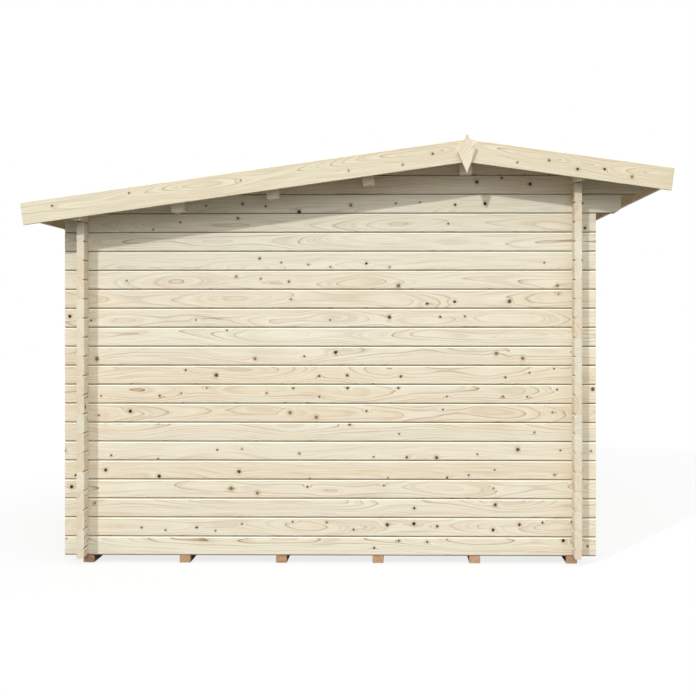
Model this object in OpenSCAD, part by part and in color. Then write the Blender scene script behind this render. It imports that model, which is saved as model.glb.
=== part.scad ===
// Garden shed of interlocking logs, under a gable roof with one long and one short slope.
// Full-size, in millimetres. X runs from the rear eave to the front eave with the door,
// Y from the left gable to the right gable as seen facing the door, and Z points up.
// The origin is on the ground, at the middle of the roof's outline.

/* [Logs] */
// Thickness of a wall log
log_thick = 44; // [36:1:60]
// Height of one course of logs
log_height = 114; // [104:1:130]
// Height of the half log that starts the front and rear walls
half_log = 57; // [50:1:58]
// How far the log ends stand out past the outer face of the crossing wall
log_end = 98; // [60:1:150]
// Depth of the corner notch in the gable logs, above and below
notch_depth = 28.5; // [22:0.5:32]
// Height of the sloped edge that makes the V joint between two logs
vee_height = 8; // [4:0.5:12]
// Depth of the V joint
vee_depth = 6.5; // [2:0.5:7]
// Width of each of the two tongues on top of a log
tongue_width = 8; // [5:0.5:10]
// Height of the tongues
tongue_height = 9; // [5:0.5:12]
// Distance between the middles of the two tongues
tongue_pitch = 17; // [14:0.5:20]
// How much each side of a tongue leans in towards its top
tongue_taper = 1; // [0.5:0.5:1.5]
// Clearance between pieces that seat on each other
fit = 0.3; // [0.2:0.05:0.6]

/* [Walls] */
// Width of the gable walls, outer face to outer face
wall_width = 2990; // [2600:10:3600]
// Depth of the shed from gable to gable, outer face to outer face
wall_depth = 2990; // [2200:10:4000]
// Full logs above the half log in the rear wall
rear_logs = 18; // [17:1:19]
// Full logs above the half log in the front wall
front_logs = 20; // [19:1:21]
// Least height to which a gable log is cut down under the roof
feather = 12; // [6:1:20]

/* [Front eave logs] */
// How far the lower of the two long gable logs runs past the other log ends
lower_reach = 149; // [60:1:200]
// How far the upper of the two long gable logs runs past the other log ends
upper_reach = 278; // [210:1:300]
// Length of the sloped cut under the end of a long log
end_cut_length = 36; // [10:1:60]
// Height of that sloped cut
end_cut_height = 25; // [10:1:60]

/* [Bearers and floor] */
// Number of bearers under the shed
bearer_count = 6; // [6:1:6]
// Width of a bearer
bearer_width = 65; // [45:1:90]
// Height of a bearer
bearer_height = 45; // [35:1:75]
// How far the first and last bearer stay behind the outer face of their wall
bearer_inset = 12.5; // [0:0.5:30]
// How far the ends of the bearers stay behind the gable face
bearer_set_back = 6; // [0:1:20]
// Thickness of the floor boards
floor_thick = 19; // [16:1:28]
// Gap between the floor and the walls
floor_gap = 4; // [1:1:10]

/* [Roof] */
// Slope of both roof sides, in degrees
roof_slope = 8; // [6:0.5:10]
// Overhang of the rear eave past the outer wall face, to the tip of the bargeboard
rear_overhang = 303; // [200:1:400]
// Overhang of the front eave past the outer wall face, to the tip of the bargeboard
front_overhang = 521; // [420:1:700]
// Overhang at each gable, to the back of the bargeboards
gable_overhang = 180; // [120:1:300]
// Thickness of the roof boards
deck_thick = 20; // [16:1:28]
// Width of a bargeboard
barge_width = 130; // [100:1:160]
// Thickness of a bargeboard
barge_thick = 20; // [16:1:28]
// How far the bargeboards stand above the roof boards
barge_rise = 17; // [0:1:25]
// Thickness of the eave boards
fascia_thick = 18; // [14:1:25]
// How far the eave boards hang below the underside of the roof boards
fascia_drop = 56; // [30:1:70]

/* [Purlins] */
// Number of purlins under the long slope, besides the one at the ridge
purlin_count = 3; // [3:1:3]
// Distance between two purlins, as a share of the long slope, counted up from the rear wall
purlin_share = 0.247; // [0.22:0.001:0.25]
// How far the ends of the purlins stay behind the back of the bargeboards
purlin_set_back = 50; // [0:5:90]
// Width of a purlin
purlin_width = 70; // [44:1:80]
// Height of a purlin, square to the slope
purlin_height = 132; // [100:1:150]
// Width of the ridge purlin
ridge_width = 70; // [50:1:90]
// Height of the ridge purlin at its peak
ridge_height = 148; // [110:1:160]

/* [Finials] */
// Width of the diamond at the ridge
finial_width = 109; // [80:1:160]
// Height of the diamond
finial_height = 230; // [160:1:260]
// Thickness of the diamond
finial_thick = 20; // [12:1:28]
// Height of the diamond's tip above the tip of the bargeboards
finial_rise = 31; // [10:1:60]
// How far the side corners of the diamond stand above its middle
finial_shoulder = 20; // [0:1:40]
// How much each side corner of the diamond is set up or down
finial_skew = 13; // [0:1:16]

/* [Door] */
// Width of the doorway cut in the logs
door_opening = 900; // [760:10:1100]
// Courses of logs beside the doorway
door_courses = 17; // [15:1:17]
// Thickness of the jambs and head inside the doorway
frame_web = 30; // [20:1:45]
// Thickness of the casings that clasp the log ends
casing_thick = 18; // [12:1:25]
// How far the casings lap over the logs
casing_lap = 40; // [20:1:70]
// Thickness of the threshold
threshold_thick = 25; // [18:1:35]
// How far the threshold stands out past the wall
threshold_nose = 40; // [20:1:60]
// Thickness of the door boards
door_thick = 19; // [15:1:24]
// Gap round the door leaf
door_gap = 4; // [2:0.5:8]
// Width of the ledges and braces on the back of the door
ledge_width = 95; // [70:1:120]
// Thickness of the ledges and braces
ledge_thick = 20; // [14:1:22]
// Distance of the end ledges from the top and bottom of the door
ledge_inset = 140; // [100:1:240]
// Width of a brace along the ledges that it meets
brace_foot = 142; // [110:1:180]
// Width of the stops that the door closes against
stop_width = 12; // [8:1:20]
// How much the front of the threshold falls
threshold_fall = 8; // [3:1:12]

/* [Door fittings] */
// Length of a hinge
hinge_length = 100; // [60:1:140]
// Diameter of a hinge's barrel
hinge_barrel = 13; // [9:1:14]
// Width of a hinge's plate
hinge_plate = 45; // [30:1:60]
// Thickness of the hinge and handle plates
plate_thick = 3; // [2:0.5:4]
// Length of the handle plate
handle_plate_length = 200; // [150:1:240]
// Width of the handle plate
handle_plate_width = 38; // [30:1:50]
// Distance of the handle plate's middle from the edge of the door
handle_inset = 60; // [45:1:90]
// Diameter of the lever
lever_diameter = 16; // [12:1:20]
// Length of the lever
lever_length = 112; // [90:1:140]
// Distance of the lever from the face of the door
lever_stand = 42; // [30:1:60]
// Diameter of the spindle through the door
spindle_diameter = 9; // [7:1:10]
// Diameter of the round plate on the inside
rose_diameter = 50; // [40:1:70]

/* [Hidden] */
$fn = 48;

// Colours of untreated spruce, of weathered treated wood and of zinc-plated steel
spruce = "#e9d3a6";
treated_wood = "#8a5a38";
steel = "#b4b7ba";

// Margin by which a cutting shape passes the piece that it cuts
over = 20;
// Signs of the two roof sides along X, and of the two gables along Y
REAR = -1;
FRONT = 1;
LEFT = -1;
RIGHT = 1;

// Places across and along the shed
bearer_pitch = (wall_width - 2 * bearer_inset - bearer_width) / (bearer_count - 1);
total_width = rear_overhang + wall_width + front_overhang;
rear_face = -total_width / 2 + rear_overhang;
front_face = rear_face + wall_width;
wall_middle = (rear_face + front_face) / 2;
rear_wall_x = rear_face + log_thick / 2;
front_wall_x = front_face - log_thick / 2;
gable_y = wall_depth / 2 - log_thick / 2;
log_tip_y = wall_depth / 2 + log_end;
barge_back = wall_depth / 2 + gable_overhang;
under_roof_length = 2 * (barge_back - fit);

// Heights of the walls, and the ridge on the underside of the roof boards.
// Both slopes rest on the inner top edges of the front and rear walls.
wall_base = bearer_height;
rear_top = wall_base + half_log + rear_logs * log_height;
front_top = wall_base + half_log + front_logs * log_height;
inner_width = wall_width - 2 * log_thick;
rear_run = (inner_width + (front_top - rear_top) / tan(roof_slope)) / 2;
ridge_x = rear_face + log_thick + rear_run;
ridge_z = rear_top + rear_run * tan(roof_slope);
gable_courses = floor((ridge_z - wall_base) / log_height);
upper_long_log = front_logs - 1;
lower_long_log = front_logs - 2;

// Lengths down each slope, from the ridge to the square ends of the bargeboards
barge_lift = deck_thick + barge_rise;
rear_length = (total_width / 2 + ridge_x) / cos(roof_slope) - barge_lift * tan(roof_slope);
front_length = (total_width / 2 - ridge_x) / cos(roof_slope) - barge_lift * tan(roof_slope);
rear_run_length = (ridge_x - rear_wall_x) / cos(roof_slope);
purlin_length = 2 * (barge_back - purlin_set_back);
ridge_bottom = ridge_z - ridge_height;
finial_middle = ridge_z + barge_lift / cos(roof_slope) + finial_rise - finial_height / 2;

// Notches in the logs of the front and rear walls, above and below
side_notch_top = half_log - notch_depth;
side_notch_bottom = log_height - notch_depth - half_log;

// Doorway, with its frame and leaf
door_sill = wall_base + half_log;
door_head = door_sill + door_courses * log_height;
half_opening = door_opening / 2;
half_frame = log_thick / 2 + casing_thick;
half_clear = half_opening - frame_web;
leaf_width = 2 * (half_clear - door_gap);
leaf_bottom = door_sill + threshold_thick + door_gap;
leaf_top = door_head - frame_web - door_gap;
leaf_back = front_face - door_thick;
ledge_back = leaf_back - ledge_thick;
stop_back = front_wall_x - half_frame;
leaf_middle = (leaf_bottom + leaf_top) / 2;
ledge_heights = [leaf_bottom + ledge_inset, leaf_middle, leaf_top - ledge_inset];
handle_y = leaf_width / 2 - handle_inset;

function course_z(course) = wall_base + course * log_height;
function side_course_z(course) = door_sill + course * log_height;
function roof_x(side, height) = ridge_x + side * (ridge_z - height) / tan(roof_slope);
function purlin_run(index) =
    rear_run_length * (1 - (purlin_count + 1 - index) * purlin_share);
function slope_length(side) = side == REAR ? rear_length : front_length;

// Point on a roof side: run goes down the slope from the ridge, lift is square to it
function slope_point(side, run, lift) = [
    ridge_x + side * (run * cos(roof_slope) + lift * sin(roof_slope)),
    ridge_z - run * sin(roof_slope) + lift * cos(roof_slope)
];
// The same, on the plumb cut where the two sides meet
function ridge_point(side, lift) = [
    ridge_x + side * fit / 2,
    ridge_z - fit / 2 * tan(roof_slope) + lift / cos(roof_slope)
];

// Height of the slot's bottom on its ridge side, which is the higher one
function slot_seat(index) =
    slope_point(REAR, purlin_run(index) - purlin_width / 2 - fit, -purlin_height - fit)[1];
// A slot that would leave less than the feather under it goes on through the log
function slot_extra(seat, course) =
    seat > course_z(course) && seat < course_z(course) + feather ? log_height : 0;

// Where a gable log starts under the rear slope. A piece shorter than the log is thick
// isn't left beside a purlin: the log then starts in the purlin's slot.
function purlin_x(index) = slope_point(REAR, purlin_run(index), -purlin_height / 2)[0];
function log_start(course) =
    let (at_roof = roof_x(REAR, course_z(course) + feather),
         at_purlins = [for (index = [1 : purlin_count])
                           if (purlin_x(index) < at_roof + purlin_width / 2 + log_thick)
                               purlin_x(index)])
    max(concat([rear_face - log_end, at_roof], at_purlins));

// Grooves below and tongues above, both with slightly tapered sides
function groove_points(half) = [
    for (middle = [-tongue_pitch / 2, tongue_pitch / 2])
        each [[middle - half, 0], [middle - half + tongue_taper, tongue_height + fit],
              [middle + half - tongue_taper, tongue_height + fit], [middle + half, 0]]
];
function tongue_points(height, half) = [
    for (middle = [tongue_pitch / 2, -tongue_pitch / 2])
        each [[middle + half, height],
              [middle + half - tongue_taper, height + tongue_height - fit],
              [middle - half + tongue_taper, height + tongue_height - fit],
              [middle - half, height]]
];

// Outline of a log across its length, with half of a V joint at each edge.
// The lowest log of a wall has no grooves, and one that meets the roof has a plain top.
function log_outline(height, grooved, tongued) = concat(
    [[-log_thick / 2 + vee_depth, 0]],
    grooved ? groove_points(tongue_width / 2 + fit) : [],
    [[log_thick / 2 - vee_depth, 0], [log_thick / 2, vee_height]],
    tongued ? [[log_thick / 2, height - vee_height], [log_thick / 2 - vee_depth, height]]
            : [[log_thick / 2, height], [-log_thick / 2, height]],
    tongued ? tongue_points(height, tongue_width / 2) : [],
    tongued ? [[-log_thick / 2 + vee_depth, height], [-log_thick / 2, height - vee_height]] : [],
    [[-log_thick / 2, vee_height]]
);

// A bar along Y with the given outline in X and Z, centred on the middle of the shed
module bar_along_y(points, length) {
    translate([0, length / 2, 0])
        rotate([90, 0, 0])
            linear_extrude(length)
                polygon(points);
}

// A box from its lowest to its highest corner
module box(low, high) {
    translate(low)
        cube(high - low);
}

// Strip of a roof side, between two runs and two lifts
module slope_strip(side, runs, lifts, length) {
    bar_along_y([slope_point(side, runs[0], lifts[0]), slope_point(side, runs[1], lifts[0]),
                 slope_point(side, runs[1], lifts[1]), slope_point(side, runs[0], lifts[1])],
                length);
}

// Strip of a roof side that starts at the plumb cut on the ridge
module ridge_strip(side, run, lifts, length) {
    bar_along_y([ridge_point(side, lifts[0]), slope_point(side, run, lifts[0]),
                 slope_point(side, run, lifts[1]), ridge_point(side, lifts[1])], length);
}

// All that is above the underside of the roof, with which the walls are cut to it
module above_roof(length) {
    high = ridge_z + 2 * log_height;
    bar_along_y([[ridge_x, ridge_z - fit], slope_point(REAR, rear_length + over, -fit),
                 [-total_width, high], [total_width, high],
                 slope_point(FRONT, front_length + over, -fit)], length);
}

// Notch over a crossing log, between two heights of the notched log
module notch(low, high) {
    half = log_thick / 2 + fit;
    box([-half, -half, low], [half, half, high]);
}

// Purlin under the long slope, numbered down from the ridge, or the slot around it
module purlin_bar(index, grow, lifts, length) {
    half = purlin_width / 2 + grow;
    slope_strip(REAR, [purlin_run(index) - half, purlin_run(index) + half], lifts, length);
}

// Slots for the purlins in one gable log
module purlin_slots(course) {
    for (index = [1 : purlin_count]) {
        extra = slot_extra(slot_seat(index), course);
        purlin_bar(index, fit, [-purlin_height - fit - extra, log_height], 2 * log_thick);
    }
    half = ridge_width / 2 + fit;
    bottom = ridge_bottom - fit;
    box([ridge_x - half, -log_thick, bottom - slot_extra(bottom, course)],
        [ridge_x + half, log_thick, ridge_z + log_height]);
}

// Log of a gable wall, along X, notched where it crosses the front and rear walls.
// The two logs under the front eave run on past the others and carry it.
module gable_log(course) {
    last = course == gable_courses - 1;
    height = last ? ridge_z - course_z(course) : log_height - fit;
    reach = course == upper_long_log ? upper_reach : course == lower_long_log ? lower_reach : 0;
    start = log_start(course);
    end = min(front_face + log_end + reach, roof_x(FRONT, course_z(course) + feather));
    translate([0, 0, course_z(course)])
        difference() {
            translate([start, 0, 0])
                rotate([90, 0, 90])
                    linear_extrude(end - start)
                        polygon(log_outline(height, course > 0, !last));
            for (wall_x = [rear_wall_x, front_wall_x])
                translate([wall_x, 0, 0]) {
                    notch(-over, notch_depth + fit);
                    notch(log_height - notch_depth, height + over);
                }
            if (reach > 0)
                bar_along_y([[end - end_cut_length, 0], [end, end_cut_height],
                             [end + over, end_cut_height], [end + over, -over],
                             [end - end_cut_length, -over]], 2 * log_thick);
        }
}

// Gable wall: whole logs up to the eaves, then logs cut to the roof and round the purlins
module gable_wall(gable) {
    color(spruce)
        translate([0, gable * gable_y, 0])
            difference() {
                for (course = [0 : gable_courses - 1])
                    difference() {
                        gable_log(course);
                        purlin_slots(course);
                    }
                above_roof(2 * log_thick);
            }
}

// Log of the front or rear wall, along Y between two places
module side_log(wall_x, low, height, grooved, tongued, from, to) {
    translate([wall_x, to, low])
        rotate([90, 0, 0])
            linear_extrude(to - from)
                polygon(log_outline(height, grooved, tongued));
}

// Half log at the foot of the front or rear wall
module foot_log(wall_x) {
    difference() {
        side_log(wall_x, wall_base, half_log - fit, false, true, -log_tip_y, log_tip_y);
        for (gable = [LEFT, RIGHT])
            translate([wall_x, gable * gable_y, wall_base])
                notch(notch_depth, half_log + over);
    }
}

// Full log of the front or rear wall, notched where it crosses the gables
module side_course(wall_x, course, from, to) {
    difference() {
        side_log(wall_x, side_course_z(course), log_height - fit, true, true, from, to);
        for (gable = [LEFT, RIGHT])
            translate([wall_x, gable * gable_y, side_course_z(course)]) {
                notch(-over, side_notch_bottom + fit);
                notch(log_height - side_notch_top, log_height + over);
            }
    }
}

// Top log of the front or rear wall, cut to the roof, which runs on to the bargeboards
module top_log(wall_x, course) {
    difference() {
        side_log(wall_x, side_course_z(course), log_height, true, false,
                 -under_roof_length / 2, under_roof_length / 2);
        above_roof(under_roof_length + over);
        for (gable = [LEFT, RIGHT])
            translate([wall_x, gable * gable_y, side_course_z(course)]) {
                notch(-over, side_notch_bottom + fit);
                notch(log_height - side_notch_top, log_height + over);
            }
    }
}

module rear_wall() {
    color(spruce) {
        foot_log(rear_wall_x);
        for (course = [0 : rear_logs - 2])
            side_course(rear_wall_x, course, -log_tip_y, log_tip_y);
        top_log(rear_wall_x, rear_logs - 1);
    }
}

// The half log runs through under the door, where the threshold replaces its tongues
module front_sill_log() {
    color(spruce)
        difference() {
            foot_log(front_wall_x);
            box([front_wall_x - log_thick, -half_opening, door_sill - fit],
                [front_wall_x + log_thick, half_opening, door_sill + log_height]);
        }
}

module front_wall_left() {
    color(spruce)
        for (course = [0 : door_courses - 1])
            side_course(front_wall_x, course, -log_tip_y, -half_opening);
}

module front_wall_right() {
    color(spruce)
        for (course = [0 : door_courses - 1])
            side_course(front_wall_x, course, half_opening, log_tip_y);
}

module front_wall_over_door() {
    color(spruce) {
        for (course = [door_courses : front_logs - 2])
            side_course(front_wall_x, course, -log_tip_y, log_tip_y);
        top_log(front_wall_x, front_logs - 1);
    }
}

// Bearer along Y under the floor and the gables
module bearer(index) {
    middle = wall_middle + (index - (bearer_count + 1) / 2) * bearer_pitch;
    half_length = wall_depth / 2 - bearer_set_back;
    color(treated_wood)
        box([middle - bearer_width / 2, -half_length, 0],
            [middle + bearer_width / 2, half_length, bearer_height]);
}

module floor_deck() {
    half_length = wall_depth / 2 - log_thick - floor_gap;
    color(spruce)
        box([rear_face + log_thick + floor_gap, -half_length, bearer_height],
            [front_face - log_thick - floor_gap, half_length, bearer_height + floor_thick]);
}

// Ridge purlin, with its top bevelled to both slopes
module ridge_purlin() {
    half = ridge_width / 2;
    shoulder = ridge_z - fit - half * tan(roof_slope);
    color(spruce)
        bar_along_y([[ridge_x - half, ridge_bottom], [ridge_x + half, ridge_bottom],
                     [ridge_x + half, shoulder], [ridge_x, ridge_z - fit],
                     [ridge_x - half, shoulder]], purlin_length);
}

module purlin(index) {
    color(spruce)
        purlin_bar(index, 0, [-purlin_height, -fit], purlin_length);
}

module roof_deck(side) {
    color(spruce)
        ridge_strip(side, slope_length(side) - fascia_thick - fit, [0, deck_thick],
                    under_roof_length);
}

// Eave board on the ends of the roof boards, between the bargeboards
module fascia(side) {
    run = slope_length(side);
    color(spruce)
        slope_strip(side, [run - fascia_thick, run], [-fascia_drop, deck_thick],
                    under_roof_length);
}

module bargeboard(gable, side) {
    color(spruce)
        translate([0, gable * (barge_back + barge_thick / 2), 0])
            ridge_strip(side, slope_length(side), [barge_lift - barge_width, barge_lift],
                        barge_thick);
}

// Diamond that covers the joint of the bargeboards
module finial(gable) {
    half = finial_width / 2;
    color(spruce)
        translate([ridge_x, gable * (barge_back + barge_thick + finial_thick / 2), finial_middle])
            bar_along_y([[0, -finial_height / 2],
                         [half, finial_shoulder - gable * finial_skew],
                         [0, finial_height / 2],
                         [-half, finial_shoulder + gable * finial_skew]], finial_thick);
}

// Jamb that clasps the ends of the logs, with a stop for the door
module jamb() {
    face = log_thick / 2 + fit;
    stop_x = ledge_back - fit - front_wall_x;
    translate([front_wall_x, -half_opening, door_sill])
        linear_extrude(door_head - frame_web - fit - door_sill)
            polygon([[-half_frame, -casing_lap], [-face, -casing_lap], [-face, fit], [face, fit],
                     [face, -casing_lap], [half_frame, -casing_lap], [half_frame, frame_web],
                     [stop_x, frame_web], [stop_x, frame_web + stop_width],
                     [-half_frame, frame_web + stop_width]]);
}

// Head of the doorway, with the same casings and stop
module door_head_piece() {
    lap = half_opening + casing_lap;
    face = log_thick / 2 + fit;
    under = door_head - frame_web;
    stop_y = half_clear - stop_width - fit;
    box([front_wall_x - half_frame, -half_opening + fit, under],
        [front_wall_x + half_frame, half_opening - fit, door_head - fit]);
    box([front_wall_x - half_frame, -lap, under], [front_wall_x - face, lap, door_head + casing_lap]);
    box([front_wall_x + face, -lap, under], [front_wall_x + half_frame, lap, door_head + casing_lap]);
    box([stop_back, -stop_y, under - stop_width], [ledge_back - fit, stop_y, under]);
}

module door_frame() {
    color(spruce) {
        jamb();
        mirror([0, 1, 0])
            jamb();
        door_head_piece();
    }
}

module threshold() {
    back = stop_back;
    nose = front_face + threshold_nose;
    top = door_sill + threshold_thick;
    color(spruce)
        difference() {
            bar_along_y([[back, door_sill], [nose, door_sill], [nose, top - threshold_fall],
                         [front_face, top], [back, top]], 2 * (half_clear - fit));
            for (side = [LEFT, RIGHT])
                translate([0, side * half_clear, 0])
                    box([back - over, -stop_width - 2 * fit, door_sill - over],
                        [ledge_back, stop_width + 2 * fit, top + over]);
        }
}

// Hole for the handle's spindle, through the door and its middle ledge
module spindle(diameter) {
    translate([ledge_back - over, handle_y, leaf_middle])
        rotate([0, 90, 0])
            cylinder(d = diameter, h = door_thick + ledge_thick + 2 * over);
}

module door_leaf() {
    color(spruce)
        difference() {
            box([leaf_back, -leaf_width / 2, leaf_bottom], [front_face, leaf_width / 2, leaf_top]);
            spindle(spindle_diameter + 2 * fit);
        }
}

// Brace that rises from the hinge side to the lock side, between two ledges
module brace(low, high) {
    foot = -leaf_width / 2 + door_gap;
    head = leaf_width / 2 - brace_foot - door_gap;
    translate([ledge_back, 0, 0])
        rotate([90, 0, 90])
            linear_extrude(ledge_thick)
                polygon([[foot, low], [foot + brace_foot, low],
                         [head + brace_foot, high], [head, high]]);
}

module door_ledges() {
    half = ledge_width / 2;
    color(spruce)
        difference() {
            union() {
                for (height = ledge_heights)
                    box([ledge_back, -leaf_width / 2, height - half],
                        [leaf_back, leaf_width / 2, height + half]);
                for (index = [0, 1])
                    brace(ledge_heights[index] + half + fit, ledge_heights[index + 1] - half - fit);
            }
            spindle(spindle_diameter + 2 * fit);
        }
}

// Three hinges in the corner between the door and the jamb
module door_hinges() {
    radius = hinge_barrel / 2;
    middle_y = -half_clear + radius + fit;
    color(steel)
        for (height = ledge_heights)
            translate([front_face + fit, middle_y, height - hinge_length / 2]) {
                translate([radius, 0, 0])
                    cylinder(r = radius, h = hinge_length);
                cube([plate_thick, hinge_plate, hinge_length]);
            }
}

// Lever on a stem, pointing to the hinges, on the outer (1) or inner (-1) face of the door
module lever(face, side) {
    radius = lever_diameter / 2;
    translate([face, handle_y, leaf_middle])
        rotate([0, side * 90, 0]) {
            cylinder(r = radius, h = lever_stand);
            translate([0, 0, lever_stand])
                sphere(r = radius);
            translate([0, 0, lever_stand])
                rotate([90, 0, 0])
                    cylinder(r = radius, h = lever_length);
        }
}

module door_handle() {
    half = handle_plate_width / 2;
    outside = front_face + fit;
    inside = ledge_back - fit;
    color(steel) {
        box([outside, handle_y - half, leaf_middle - handle_plate_length / 2],
            [outside + plate_thick, handle_y + half, leaf_middle + handle_plate_length / 2]);
        lever(outside, 1);
        translate([inside - plate_thick, handle_y, leaf_middle])
            rotate([0, 90, 0])
                cylinder(d = rose_diameter, h = plate_thick);
        lever(inside, -1);
        translate([inside - plate_thick / 2, handle_y, leaf_middle])
            rotate([0, 90, 0])
                cylinder(d = spindle_diameter, h = outside - inside + plate_thick);
    }
}

bearer(1);  // bearer_1
bearer(2);  // bearer_2
bearer(3);  // bearer_3
bearer(4);  // bearer_4
bearer(5);  // bearer_5
bearer(6);  // bearer_6
floor_deck();
gable_wall(LEFT);  // left_gable_wall
gable_wall(RIGHT);  // right_gable_wall
rear_wall();
front_sill_log();
front_wall_left();
front_wall_right();
front_wall_over_door();
ridge_purlin();
purlin(1);  // purlin_1
purlin(2);  // purlin_2
purlin(3);  // purlin_3
roof_deck(REAR);  // rear_roof_deck
roof_deck(FRONT);  // front_roof_deck
fascia(REAR);  // rear_fascia
fascia(FRONT);  // front_fascia
bargeboard(LEFT, REAR);  // left_bargeboard_rear
bargeboard(LEFT, FRONT);  // left_bargeboard_front
bargeboard(RIGHT, REAR);  // right_bargeboard_rear
bargeboard(RIGHT, FRONT);  // right_bargeboard_front
finial(LEFT);  // left_finial
finial(RIGHT);  // right_finial
door_frame();
threshold();
door_leaf();
door_ledges();
door_hinges();
door_handle();
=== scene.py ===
# %% [markdown]
# # A garden shed of interlocking logs
#
# The shed is planed, untreated spruce: log walls with crossed corners, a gable roof with
# one long and one short slope, bargeboards, and brown bearers under it all.
#
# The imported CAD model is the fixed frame, in metres: X runs from the low rear eave to the
# high front eave, Y from the left gable to the right one, and Z points up.
# This notebook gives each surface its wood, and adds what is too fine for the CAD model:
# the separate boards of the roof, the floor and the door, with their joints and fixings.

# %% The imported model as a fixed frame
from math import cos, radians, sin

import bmesh
import bpy
import numpy as np
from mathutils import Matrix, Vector


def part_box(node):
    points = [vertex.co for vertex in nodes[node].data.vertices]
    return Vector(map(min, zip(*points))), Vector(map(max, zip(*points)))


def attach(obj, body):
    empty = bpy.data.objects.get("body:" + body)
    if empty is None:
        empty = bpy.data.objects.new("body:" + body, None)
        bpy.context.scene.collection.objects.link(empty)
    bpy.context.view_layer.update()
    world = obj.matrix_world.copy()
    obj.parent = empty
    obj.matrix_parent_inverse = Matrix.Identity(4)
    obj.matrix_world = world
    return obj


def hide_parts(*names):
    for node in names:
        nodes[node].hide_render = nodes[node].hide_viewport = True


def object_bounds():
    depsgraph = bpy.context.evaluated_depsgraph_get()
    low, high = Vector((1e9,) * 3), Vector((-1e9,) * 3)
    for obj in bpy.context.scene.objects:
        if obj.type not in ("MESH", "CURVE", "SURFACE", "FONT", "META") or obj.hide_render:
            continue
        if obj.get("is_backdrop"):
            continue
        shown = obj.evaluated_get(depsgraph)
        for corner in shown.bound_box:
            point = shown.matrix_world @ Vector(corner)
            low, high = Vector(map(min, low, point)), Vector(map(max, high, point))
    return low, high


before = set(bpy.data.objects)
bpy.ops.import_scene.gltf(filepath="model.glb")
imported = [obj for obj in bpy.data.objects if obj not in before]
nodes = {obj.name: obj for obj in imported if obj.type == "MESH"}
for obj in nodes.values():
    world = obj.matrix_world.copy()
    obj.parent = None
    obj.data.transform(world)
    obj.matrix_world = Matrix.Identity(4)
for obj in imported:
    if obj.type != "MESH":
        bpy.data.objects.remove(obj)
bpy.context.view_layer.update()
scene = bpy.context.scene

# %% [markdown]
# ## The camera
#
# The photograph looks at the left gable from a little below the eaves. Every edge that runs
# in depth points at one pixel, and every upright edge is upright. So the camera is level,
# and the part of the picture above its axis is taken in by a lens shift, as a view camera
# does it. The distance follows from how fast the log ends shrink with depth.

# %% Camera at the photograph's place
PHOTO_WIDTH = 696
SENSOR = 36.0
FOCAL_PIXELS = 1151.5
AXIS_PIXEL = (383.8, 315.5)     # where the edges in depth point
CAMERA_PLACE = (0.304, -8.395, 1.485)
CAMERA_TURN = 0.73
FARTHEST = 100.0                # metres, past the far edge of the floor

camera_data = bpy.data.cameras.new("camera")
camera_data.sensor_width = SENSOR
camera_data.lens = FOCAL_PIXELS / PHOTO_WIDTH * SENSOR
camera_data.shift_x = 0.5 - AXIS_PIXEL[0] / PHOTO_WIDTH
camera_data.shift_y = AXIS_PIXEL[1] / PHOTO_WIDTH - 0.5
camera_data.clip_end = FARTHEST
camera = bpy.data.objects.new("camera", camera_data)
camera.location = CAMERA_PLACE
camera.rotation_euler = (radians(90), 0, radians(CAMERA_TURN))
scene.collection.objects.link(camera)
scene.camera = camera
scene.view_settings.view_transform = "Standard"
print("Lens:", round(camera_data.lens, 1), "mm")

# %% [markdown]
# ## Nodes and colours
#
# A material is a tree of nodes. One helper adds a node, sets its properties and fills its
# inputs, either with plain values or with the outputs of other nodes. Colours are written
# as sRGB hex values, as a colour picker shows them, and turned to linear light here.

# %% Helpers for materials
def colour(text):
    """Linear RGBA of an sRGB hex value: c / 12.92 where c is below 0.04045, and
    ((c + 0.055) / 1.055) ** 2.4 above it."""
    channels = np.array([int(text[i:i + 2], 16) for i in (1, 3, 5)]) / 255
    linear = np.where(channels < 0.04045, channels / 12.92, ((channels + 0.055) / 1.055) ** 2.4)
    return (*linear.tolist(), 1.0)


def add(tree, kind, inputs=(), **settings):
    """Adds a node of one kind. inputs maps a socket to a value, to another node's output, or
    to another node, which gives its first output."""
    node = tree.nodes.new("ShaderNode" + kind)
    for name, value in settings.items():
        setattr(node, name, value)
    for socket, value in dict(inputs).items():
        if isinstance(value, bpy.types.Node):
            value = value.outputs[0]
        if isinstance(value, bpy.types.NodeSocket):
            tree.links.new(value, node.inputs[socket])
        else:
            node.inputs[socket].default_value = value
    return node


def new_material(name):
    """An empty material with its output node."""
    material = bpy.data.materials.new(name)
    material.use_nodes = True
    material.node_tree.nodes.clear()
    output = add(material.node_tree, "OutputMaterial")
    return material, material.node_tree, output


print("Pale spruce in linear light:", colour("#efe9d3"))

# %% [markdown]
# ## Light
#
# The camera sees the world as white, and so do mirrors and glass, while the light that
# falls on the wood stays plain. One sun lamp stands high on the left in front of the gable,
# as in the photograph, where the eave's shadow falls across the upper logs. There the shadow
# of a log end is two thirds as bright as the sunlit wood, and the shade under the roof a
# third. So a wide soft lamp from high in front gives as much as the sun, a second one keeps
# the far sides from going dull, and the sky gives the rest, until the sunlit wood renders
# about as its colour is written.

# %% World and lamps
SKY_LEVEL = 0.54
LAMPS = {  # strength, width in degrees, and the way that the light goes
    "sun": (1.45, 1.2, (0.60, 1.0, -0.845)),
    "soft_front": (1.54, 65, (-0.30, 1.0, -1.15)),
    "soft_back": (1.05, 80, (-1.0, -0.7, -0.8)),
}

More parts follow.
